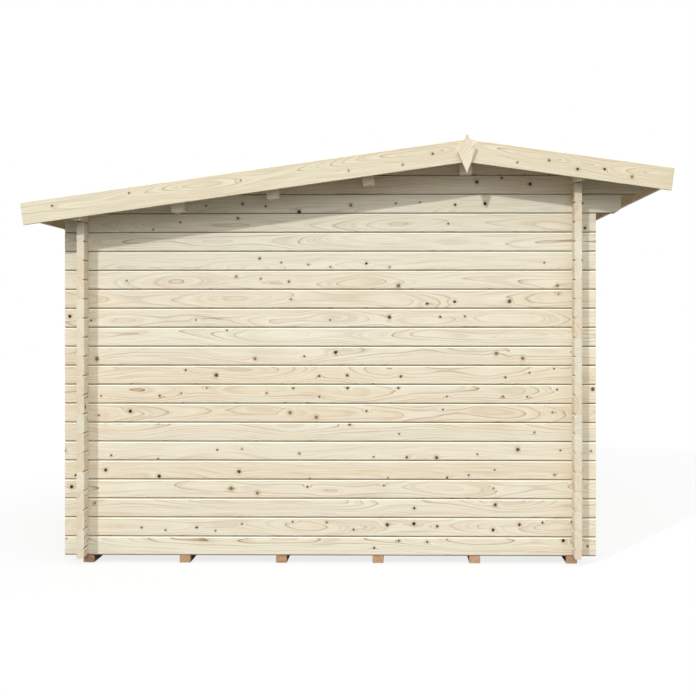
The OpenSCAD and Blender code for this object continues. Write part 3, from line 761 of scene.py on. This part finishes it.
# %% Faces, and one mesh of many boards
def between_rings(rings, count):
    """The numbers of the points of some rings, and quads between each ring and the next."""
    grid = np.arange(rings * count).reshape(rings, count)
    around = np.roll(grid, -1, axis=1)
    return grid, np.stack([grid[:-1], around[:-1], around[1:], grid[1:]], axis=-1).reshape(-1, 4)


def tube_faces(rings, count, first=0):
    """The faces of a closed tube: quads between its rings, and a cap on both ends."""
    grid, quads = between_rings(rings, count)
    caps = [grid[0, ::-1], grid[-1]]
    return (first + quads).tolist() + [(first + cap).tolist() for cap in caps]


def finish_piece(name, mesh, material, slot, *replaced):
    """The object of a finished mesh, with its wood or metal, riding on the shed."""
    mesh.materials.append(material)
    piece = bpy.data.objects.new(name, mesh)
    scene.collection.objects.link(piece)
    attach(piece, "root")
    if replaced:
        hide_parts(*replaced)
    return piece


def build(name, bars, material, slot, *replaced):
    """One mesh of many bars, with the grain and the number of each kept as attributes."""
    points, grains, numbers, faces, first = [], [], [], [], 0
    for one in bars:
        rings, count = one["points"].shape[:2]
        faces += tube_faces(rings, count, first)
        points.append(one["points"].reshape(-1, 3))
        grains.append(one["grain"].reshape(-1, 3))
        numbers.append(np.full(rings * count, float(one["number"])))
        first += rings * count
    mesh = bpy.data.meshes.new(name)
    mesh.from_pydata(np.concatenate(points), [], faces)
    mesh.attributes.new("grain", "FLOAT_VECTOR", "POINT").data.foreach_set(
        "vector", np.concatenate(grains).ravel())
    mesh.attributes.new("board", "FLOAT", "POINT").data.foreach_set(
        "value", np.concatenate(numbers))
    return finish_piece(name, mesh, material, slot, *replaced)


# %% Outline of a matched board, and a row of them
PLAY = 0.0003               # half the gap between two boards
TONGUE = 0.006
TONGUE_ROOT, TONGUE_TIP = 0.003, 0.0025     # half the thickness of the tongue
GROOVE = 0.007


def matched(width, thick, vee_low, vee_high, tongue=True):
    """Outline of a matched board, across and through, counterclockwise from its lower left:
    flat below with a V at both edges, a tongue on the right, and a groove on the left."""
    half, mid = width / 2 - PLAY, thick / 2
    out = TONGUE if tongue else 0.0
    root, tip, deep = TONGUE_ROOT, TONGUE_TIP, -half + GROOVE
    return np.array([
        (-half + vee_low, 0), (half - vee_low, 0), (half, vee_low), (half, mid - root),
        (half + out, mid - tip), (half + out, mid + tip), (half, mid + root),
        (half, thick - vee_high), (half - vee_high, thick), (-half + vee_high, thick),
        (-half, thick - vee_high), (-half, mid + root + PLAY), (deep, mid + tip + PLAY),
        (deep, mid - tip - PLAY), (-half, mid - root - PLAY), (-half, vee_low)])


def board_row(count, low, high, thick, vee_low, vee_high, span, axes, origin, first, **more):
    """A row of matched boards between two places across, the last one without its tongue."""
    width = (high - low) / count
    rows = []
    for number in range(count):
        outline = matched(width, thick, vee_low, vee_high, tongue=number < count - 1)
        outline[:, 0] += low + (number + 0.5) * width
        rows.append(bar(outline, *span, axes, origin, first + number, **more))
    return rows


# %% Boards of the roof
ROOF_HALF = corners("rear_roof_deck")[1, 1]
ROOF_THICK = 0.020
ROOF_BOARDS = 37
ROOF_VEES = (0.004, 0.0025)         # below, where it is the ceiling, and above
REAR_SPAN = (-2.6112, -0.0003)      # along the slope, from the ridge
FRONT_SPAN = (0.0003, 1.1931)
slope_cos, slope_sin = cos(radians(SLOPE)), sin(radians(SLOPE))
REAR_AXES = ((0, 1, 0), (-slope_sin, 0, slope_cos), (slope_cos, 0, slope_sin))
FRONT_AXES = ((0, 1, 0), (slope_sin, 0, slope_cos), (slope_cos, 0, -slope_sin))

# All the lamps meet on the roof: its boards are drawn darker, so that they stay cream
roof_wood = spruce("planed_spruce_roof_boards", None, pitch=0.0905, seed=6.0,
                   light="#d8d0b8", warm="#cdbd9c", late="#8f6c41", knots=0.32)
rear_boards = board_row(ROOF_BOARDS, -ROOF_HALF, ROOF_HALF, ROOF_THICK, *ROOF_VEES,
                        REAR_SPAN, REAR_AXES, RIDGE, 0, lean=(0.0, slope_sin / slope_cos))
front_boards = board_row(ROOF_BOARDS, -ROOF_HALF, ROOF_HALF, ROOF_THICK, *ROOF_VEES,
                         FRONT_SPAN, FRONT_AXES, RIDGE, 50, lean=(-slope_sin / slope_cos, 0.0))
build("rear_roof_boards", rear_boards, roof_wood, "roof_boards", "rear_roof_deck")
build("front_roof_boards", front_boards, roof_wood, "roof_boards", "front_roof_deck")
print("Roof boards:", 2 * ROOF_BOARDS)

# %% Boards of the floor
FLOOR_BOARDS = 30
FLOOR_VEE = 0.0008          # hardly one: the boards lie tight, for walking on

deck_low, deck_high = corners("floor_deck")
floor_boards = board_row(FLOOR_BOARDS, deck_low[1], deck_high[1], deck_high[2] - deck_low[2],
                         FLOOR_VEE, FLOOR_VEE, (deck_low[0], deck_high[0]),
                         ((0, 1, 0), (0, 0, 1), (1, 0, 0)), (0, 0, deck_low[2]), 0)
floor_wood = spruce("planed_spruce_floor_boards", None, pitch=0.0965, seed=12.0)
build("floor_boards", floor_boards, floor_wood, "floor", "floor_deck")
print("Floor boards:", len(floor_boards))

# %% [markdown]
# ## The door
#
# The door is out of the photograph, in the wall under the high eave. It is the plain kind
# that such sheds have: matched boards with a V at each joint, three ledges and two braces
# behind them, and a frame of boards that clasps the cut ends of the logs.

# %% Planks and braces
def plank(low, high, along, number, ease=0.0015):
    """A straight plank between two opposite corners, with the grain along one axis."""
    low, high = np.array(low), np.array(high)
    u, v = (along + 1) % 3, (along + 2) % 3
    outline = np.array([(low[u], low[v]), (high[u], low[v]), (high[u], high[v]), (low[u], high[v])])
    wide, thin = (0, 1) if high[u] - low[u] > high[v] - low[v] else (1, 0)
    axes = np.eye(3)[[u, v, along]]
    return bar(soft_corners(outline, ease), low[along], high[along], axes, (0, 0, 0), number,
               grain=(2, wide, thin), ease=ease)


def brace(low, high, number, back, face, foot=-0.412, head=0.270, width=0.142, ease=0.0015):
    """A brace between two ledges: its outline is a parallelogram in Y and Z, measured along
    and square to its own slope, so that the grain follows it."""
    outline = np.array([(foot, low), (foot + width, low), (head + width, high), (head, high)])
    slope = np.array([head - foot, high - low])
    slope /= np.linalg.norm(slope)
    turn = np.array([slope, (-slope[1], slope[0])])
    axes = [(0, *turn[0]), (0, *turn[1]), (1, 0, 0)]
    return bar(soft_corners(outline @ turn.T, ease), back, face, axes, (0, 0, 0), number,
               grain=(0, 1, 2), ease=ease)


# %% Door boards, ledges and braces
LEAF_BOARDS = 8
LEAF_VEES = (0.004, 0.003)
LEDGE_HALF = 0.0475         # half the width of a ledge

(LEAF_BACK, _, LEAF_LOW), (LEAF_FACE, LEAF_HALF, LEAF_HIGH) = corners("door_leaf")
(LEDGE_BACK, _, ledges_low), (_, _, ledges_high) = corners("door_ledges")
LEDGES = np.linspace(ledges_low + LEDGE_HALF, ledges_high - LEDGE_HALF, 3)

# The same wood as the walls, but chosen: fewer knots
door_wood = spruce("planed_spruce_door", None, pitch=0.10, seed=13.0, knots=0.28)
leaf = board_row(LEAF_BOARDS, -LEAF_HALF, LEAF_HALF, LEAF_FACE - LEAF_BACK, *LEAF_VEES,
                 (LEAF_LOW, LEAF_HIGH), ((0, 1, 0), (-1, 0, 0), (0, 0, 1)), (LEAF_FACE, 0, 0), 0)
build("door_boards", leaf, door_wood, "door", "door_leaf")
ledges = [plank((LEDGE_BACK, -LEAF_HALF, z - LEDGE_HALF), (LEAF_BACK, LEAF_HALF, z + LEDGE_HALF),
                1, 20 + i) for i, z in enumerate(LEDGES)]
ledges += [brace(LEDGES[i] + LEDGE_HALF + PLAY, LEDGES[i + 1] - LEDGE_HALF - PLAY, 30 + i,
                 LEDGE_BACK, LEAF_BACK) for i in (0, 1)]
build("door_ledges_and_braces", ledges, door_wood, "door", "door_ledges")
print("Door boards:", len(leaf), "ledges and braces:", len(ledges))

# %% Boards of the door frame
HEAD_THICK = 0.030
DOOR_GAP = 0.004            # between the door and its frame
STOP_WIDTH = 0.012          # of the strips that the ledges shut against
END_GAP = 0.0005            # between the upright boards and the one over them

(inner_back, _, SILL), (outer_face, CASING_OUT, CASING_TOP) = corners("door_frame")
WALL_BACK, WALL_FACE = corners("front_wall_left")[:, 0]
HEAD = corners("front_wall_over_door")[0, 2]    # the logs over the doorway start here
CASINGS = ((inner_back, WALL_BACK - PLAY), (WALL_FACE + PLAY, outer_face))
CASING_IN = LEAF_HALF + DOOR_GAP
JAMB_OUT = corners("front_wall_right")[0, 1] - PLAY
STOP_FACE, STOP_IN = LEDGE_BACK - PLAY, CASING_IN - STOP_WIDTH
UNDER_HEAD = HEAD - HEAD_THICK - END_GAP

boards = []
for number, (back, face) in enumerate(CASINGS):
    for hand in (-1, 1):
        y = sorted((hand * CASING_OUT, hand * CASING_IN))
        boards.append(plank((back, y[0], SILL), (face, y[1], UNDER_HEAD), 2,
                            40 + 4 * number + hand))
    boards.append(plank((back, -CASING_OUT, HEAD - HEAD_THICK), (face, CASING_OUT, CASING_TOP),
                        1, 50 + number))
for hand in (-1, 1):
    y = sorted((hand * JAMB_OUT, hand * CASING_IN))
    boards.append(plank((WALL_BACK, y[0], SILL), (WALL_FACE, y[1], UNDER_HEAD), 2, 60 + hand))
    y = sorted((hand * (CASING_IN - 0.0002), hand * STOP_IN))
    boards.append(plank((inner_back, y[0], SILL), (STOP_FACE, y[1], UNDER_HEAD), 2, 64 + hand))
boards.append(plank((WALL_BACK, -JAMB_OUT, HEAD - HEAD_THICK), (WALL_FACE, JAMB_OUT, HEAD - PLAY),
                    1, 68))
boards.append(plank((inner_back, -STOP_IN + PLAY, HEAD - HEAD_THICK - STOP_WIDTH),
                    (STOP_FACE, STOP_IN - PLAY, HEAD - HEAD_THICK - 0.0002), 1, 70))
build("door_frame_boards", boards, door_wood, "door", "door_frame")
print("Boards of the door frame:", len(boards))

# %% [markdown]
# ## Steel fittings
#
# The fittings are pressed steel, plated with zinc against rust, and so are the nails. The
# zinc is bright but not a mirror, and the bath leaves faint clouds of more and less gloss.
# The nail and screw heads are low domes: one is turned from its profile, and then set down
# at every place at once.

# %% Zinc-plated steel
CLOUD_SCALE = 65.0          # clouds 1 / 65 m, about 15 mm, across
GRAIN_SCALE = 900.0         # the grain of the plating, drawn 1 mm wide so that it shows


def zinc_plated():
    """Bright zinc on pressed steel, with a faint cloudy change of colour and gloss."""
    material, tree, output = new_material("zinc_plated_steel")
    place = add(tree, "TexCoord").outputs["Object"]
    cloud = add(tree, "TexNoise", {"Vector": place, "Scale": CLOUD_SCALE, "Detail": 2.0})
    grain = add(tree, "TexNoise", {"Vector": place, "Scale": GRAIN_SCALE, "Detail": 1.0})
    shade = add(tree, "Mix", {0: cloud.outputs[0], 6: colour("#bcc0c2"), 7: colour("#d3d6d6")},
                data_type="RGBA").outputs[2]
    gloss = add(tree, "MapRange", {"Value": cloud.outputs[0], "From Min": 0.3, "From Max": 0.7,
                                   "To Min": 0.28, "To Max": 0.42})
    bump = add(tree, "Bump", {"Height": grain.outputs[0], "Strength": 0.15, "Distance": 0.0002})
    shader = add(tree, "BsdfPrincipled", {"Base Color": shade, "Roughness": gloss,
                                          "Metallic": 1.0, "Normal": bump})
    tree.links.new(shader.outputs[0], output.inputs["Surface"])
    return material


steel = zinc_plated()
print("Steel:", steel.name)


# %% Turned shapes and plates
def turned(profile, places, axes, count):
    """Turned shapes: a profile of (radius, height) pairs goes round the third axis, at
    angles 2 pi k / count. One shape is worked out and added to every place at once. The
    profile starts and ends at radius 0, where the surface closes in one point."""
    radius, height = np.array(profile).T
    angle = np.arange(count) * 2 * np.pi / count
    shape = np.stack([radius[1:-1, None] * np.cos(angle), radius[1:-1, None] * np.sin(angle),
                      np.repeat(height[1:-1, None], count, axis=1)], axis=-1).reshape(-1, 3)
    shape = np.concatenate([shape, [(0, 0, height[0]), (0, 0, height[-1])]]) @ np.array(axes, float)
    points = np.array(places, float)[:, None] + shape
    grid, quads = between_rings(len(radius) - 2, count)
    around = np.roll(grid, -1, axis=1)
    foot, tip = np.full(count, grid.size), np.full(count, grid.size + 1)
    caps = np.concatenate([np.stack([around[0], grid[0], foot], axis=1),
                           np.stack([grid[-1], around[-1], tip], axis=1)])
    base = np.arange(len(points))[:, None, None] * len(shape)
    return (points.reshape(-1, 3), (base + quads).reshape(-1, 4).tolist()
            + (base + caps).reshape(-1, 3).tolist())


def flat_plate(outline, low, high, axes, ease=0.0006):
    """A plate with an eased edge: the points and faces of one bar."""
    rings = bar(outline, low, high, axes, (0, 0, 0), 0, ease=ease)["points"]
    return rings.reshape(-1, 3), tube_faces(*rings.shape[:2])


def merge(name, parts, *replaced):
    """One steel mesh of several (points, faces) pairs."""
    points, faces, first = [], [], 0
    for some_points, some_faces in parts:
        points.append(some_points)
        faces += [[first + corner for corner in face] for face in some_faces]
        first += len(some_points)
    mesh = bpy.data.meshes.new(name)
    mesh.from_pydata(np.concatenate(points), [], faces)
    return finish_piece(name, mesh, steel, "hardware", *replaced)


# %% Nails of the roof
NAIL = [(0, -0.0004), (0.0036, -0.0004), (0.0036, 0.0004), (0.0026, 0.0010), (0, 0.0012)]
NAIL_SIDES = 8
NAIL_FROM_MIDDLE = 0.022    # two nails in each board, where it crosses a purlin or wall
REAR_NAILS = (-0.02, -0.5974, -1.1672, -1.7369, -2.3067)
FRONT_NAILS = (0.02, 0.668)

roof_y = -ROOF_HALF + (np.arange(ROOF_BOARDS) + 0.5) * 2 * ROOF_HALF / ROOF_BOARDS
roof_y = np.concatenate([roof_y - NAIL_FROM_MIDDLE, roof_y + NAIL_FROM_MIDDLE])
nails = []
for axes, runs in ((REAR_AXES, REAR_NAILS), (FRONT_AXES, FRONT_NAILS)):
    across, run = (grid.ravel() for grid in np.meshgrid(roof_y, runs))
    lift = np.full_like(run, ROOF_THICK)
    places = np.stack([across, lift, run], axis=1) @ np.array(axes) + np.array(RIDGE)
    nails.append(turned(NAIL, places, np.array(axes)[[2, 0, 1]], NAIL_SIDES))
merge("roof_nails", nails)
print("Roof nails:", len(roof_y) * (len(REAR_NAILS) + len(FRONT_NAILS)))

# %% Nails of the door
OUT = ((0, 1, 0), (0, 0, 1), (1, 0, 0))     # axes of a shape that points out of the door
IN = ((0, 0, 1), (0, 1, 0), (-1, 0, 0))     # and of one that points into the shed
DOOR_NAIL = (0.024, 0.022)                  # from the middle of a board and of a ledge
HINGE_SIDE, HANDLE_SIDE = -0.33, 0.33       # no nails under the hinges and the handle

board_y = -LEAF_HALF + (np.arange(LEAF_BOARDS) + 0.5) * 2 * LEAF_HALF / LEAF_BOARDS
door_nails = [(LEAF_FACE, y + sign * DOOR_NAIL[0], z + sign * DOOR_NAIL[1])
              for y in board_y for z in LEDGES for sign in (-1, 1)
              if not (y > HANDLE_SIDE and z == LEDGES[1]) and not y < HINGE_SIDE]
merge("door_nails", [turned(NAIL, door_nails, OUT, NAIL_SIDES)])
print("Door nails:", len(door_nails))

# %% [markdown]
# ## Hinges
#
# A hinge is five knuckles on a pin, turned about an upright line, beside a plate with round
# corners and four screws. The barrel could be five cylinders, but one turned profile with a
# groove between the knuckles gives the same shape with no hidden faces inside.

# %% Hinges
HINGE_HALF = 0.050          # half the height of the plate, and of the pin
BARREL, BARREL_Y = 0.0065, -0.4132      # radius of the knuckles, and where the pin stands
NECK = 0.0058               # radius in the groove between two knuckles
KNUCKLE_HALF = 0.048        # half the height of the five knuckles together
KNUCKLES = 5
KNUCKLE_GAP = 0.0002        # half the width of that groove
KNUCKLE_EASE = 0.0009       # and where the slope beside it ends
PIN_END = [(0.003, 0.0498), (0.0046, 0.0490), (0.0050, 0.0480)]
PLATE_THICK = 0.003
PLATE_BACK = LEAF_FACE + PLAY
PLATE_FACE = PLATE_BACK + PLATE_THICK
PLATE_EDGE = corners("door_hinges")[1, 1]
SCREW = [(0, -0.0004), (0.0042, -0.0004), (0.0042, 0.0003), (0.0032, 0.0011), (0.0014, 0.0013),
         (0.0012, 0.0004), (0, 0.0004)]
HINGE_SCREWS = ((-0.398, -0.036), (-0.380, -0.014), (-0.398, 0.014), (-0.380, 0.036))

rise = np.linspace(-KNUCKLE_HALF, KNUCKLE_HALF, KNUCKLES + 1)
profile = [(0, -HINGE_HALF)] + [(radius, -height) for radius, height in PIN_END]
for low, high in zip(rise[:-1], rise[1:]):
    profile += [(NECK, low + KNUCKLE_GAP), (BARREL, low + KNUCKLE_EASE),
                (BARREL, high - KNUCKLE_EASE), (NECK, high - KNUCKLE_GAP)]
profile += PIN_END[::-1] + [(0, HINGE_HALF)]
barrels = turned(profile, [(PLATE_BACK + BARREL, BARREL_Y, z) for z in LEDGES], np.eye(3), 20)


def plate_outline(y_low, y_high, z_low, z_high, radius):
    """A rectangle in Y and Z with round corners, each a quarter circle of five points."""
    turn = np.radians(np.concatenate([np.linspace(a, a + 90, 5) for a in (180, 270, 0, 90)]))
    y = np.repeat([y_low + radius, y_high - radius, y_high - radius, y_low + radius], 5)
    z = np.repeat([z_low + radius, z_low + radius, z_high - radius, z_high - radius], 5)
    return np.stack([y + radius * np.cos(turn), z + radius * np.sin(turn)], axis=1)


plates = [flat_plate(plate_outline(BARREL_Y, PLATE_EDGE, z - HINGE_HALF, z + HINGE_HALF, 0.006),
                     PLATE_BACK, PLATE_FACE, OUT) for z in LEDGES]
screws = [(PLATE_FACE, y, z + dz) for z in LEDGES for y, dz in HINGE_SCREWS]
merge("hinges", [barrels, *plates, turned(SCREW, screws, OUT, 12)], "door_hinges")
print("Hinges:", len(plates), "screws:", len(screws))

# %% [markdown]
# ## Handle
#
# The lever is a round bar that comes out of the door, bends, and lies along it. It is a
# circle carried along that line, and it shrinks to almost nothing at the tip, which rounds
# the end like a fingertip. The plate, the collar and the cover of the lock are the same kinds
# of shape as the hinges.

# %% The lever on one face of the door
HANDLE_Y = LEAF_HALF - 0.060        # 60 mm from the edge of the door
HANDLE_Z = LEDGES[1]        # level with the middle ledge
LEVER = 0.008               # radius of the bar
LEVER_REACH = 0.104         # from the axis to where the tip starts to round
STAND = 0.042               # from the face of the door to the middle of the bar
BEND = 0.018
LEVER_SIDES = 20


def lever(face, side):
    """A circle carried along a line that goes straight out, turns through a quarter circle,
    and runs along the door. Over the last 8 mm its radius is LEVER cos t, and the way along
    is LEVER sin t, for t from 0 to 90 degrees, which makes half a ball."""
    turn = np.radians(np.linspace(0, 90, 9))
    tip = np.radians(np.linspace(0, 90, 8))
    out = np.concatenate([[0, STAND - BEND - 0.004], STAND - BEND + BEND * np.sin(turn),
                          np.full(2 + len(tip), STAND)])
    far = np.concatenate([[0, 0], BEND - BEND * np.cos(turn), [0.030, 0.070],
                          LEVER_REACH + LEVER * np.sin(tip)])
    width = np.concatenate([np.full(len(far) - len(tip), LEVER), LEVER * np.cos(tip)])
    width[-1] = LEVER * 0.02    # the end is a tiny flat: at 0 its corners would be one point
    path = np.stack([face + side * out, HANDLE_Y - far, np.full_like(out, HANDLE_Z)], axis=1)
    along = np.gradient(path, axis=0)
    along /= np.linalg.norm(along, axis=1, keepdims=True)
    up = np.array([0.0, 0.0, 1.0])
    sideways = np.cross(up, along)
    angle = np.arange(LEVER_SIDES) * 2 * np.pi / LEVER_SIDES
    ring = np.cos(angle)[None, :, None] * sideways[:, None] + np.sin(angle)[None, :, None] * up
    points = path[:, None] + width[:, None, None] * ring
    return points.reshape(-1, 3), tube_faces(*points.shape[:2])


# %% Handle
INSIDE = LEDGE_BACK - PLAY
COLLAR = [(0, 0), (0.0140, 0), (0.0140, 0.0035), (0.0128, 0.0050), (0.0105, 0.0060), (0, 0.0060)]
ROSE = [(0, 0), (0.0250, 0), (0.0250, 0.0020), (0.0240, 0.0030), (0, 0.0030)]
LOCK = [(0, 0), (0.0085, 0), (0.0085, 0.0016), (0.0080, 0.0022), (0, 0.0022)]
LOCK_DROP = 0.060
PLATE_HALF = (0.019, 0.100)

plate = plate_outline(HANDLE_Y - PLATE_HALF[0], HANDLE_Y + PLATE_HALF[0],
                      HANDLE_Z - PLATE_HALF[1], HANDLE_Z + PLATE_HALF[1], 0.008)
plate_screws = [(PLATE_FACE, HANDLE_Y, HANDLE_Z + dz) for dz in (-0.088, 0.088)]
handle = [flat_plate(plate, PLATE_BACK, PLATE_FACE, OUT), turned(SCREW, plate_screws, OUT, 12),
          turned(COLLAR, [(PLATE_FACE, HANDLE_Y, HANDLE_Z)], OUT, 28),
          turned(LOCK, [(PLATE_FACE, HANDLE_Y, HANDLE_Z - LOCK_DROP)], OUT, 24),
          turned(ROSE, [(INSIDE, HANDLE_Y, HANDLE_Z)], IN, 32),
          lever(PLATE_BACK, 1), lever(INSIDE, -1)]
merge("handle", handle, "door_handle")
print("Handle: plate, collar, lock cover, rose and two levers")

# %% Size of the visual model
low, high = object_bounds()
print("Visual box in metres:", tuple(low), tuple(high))
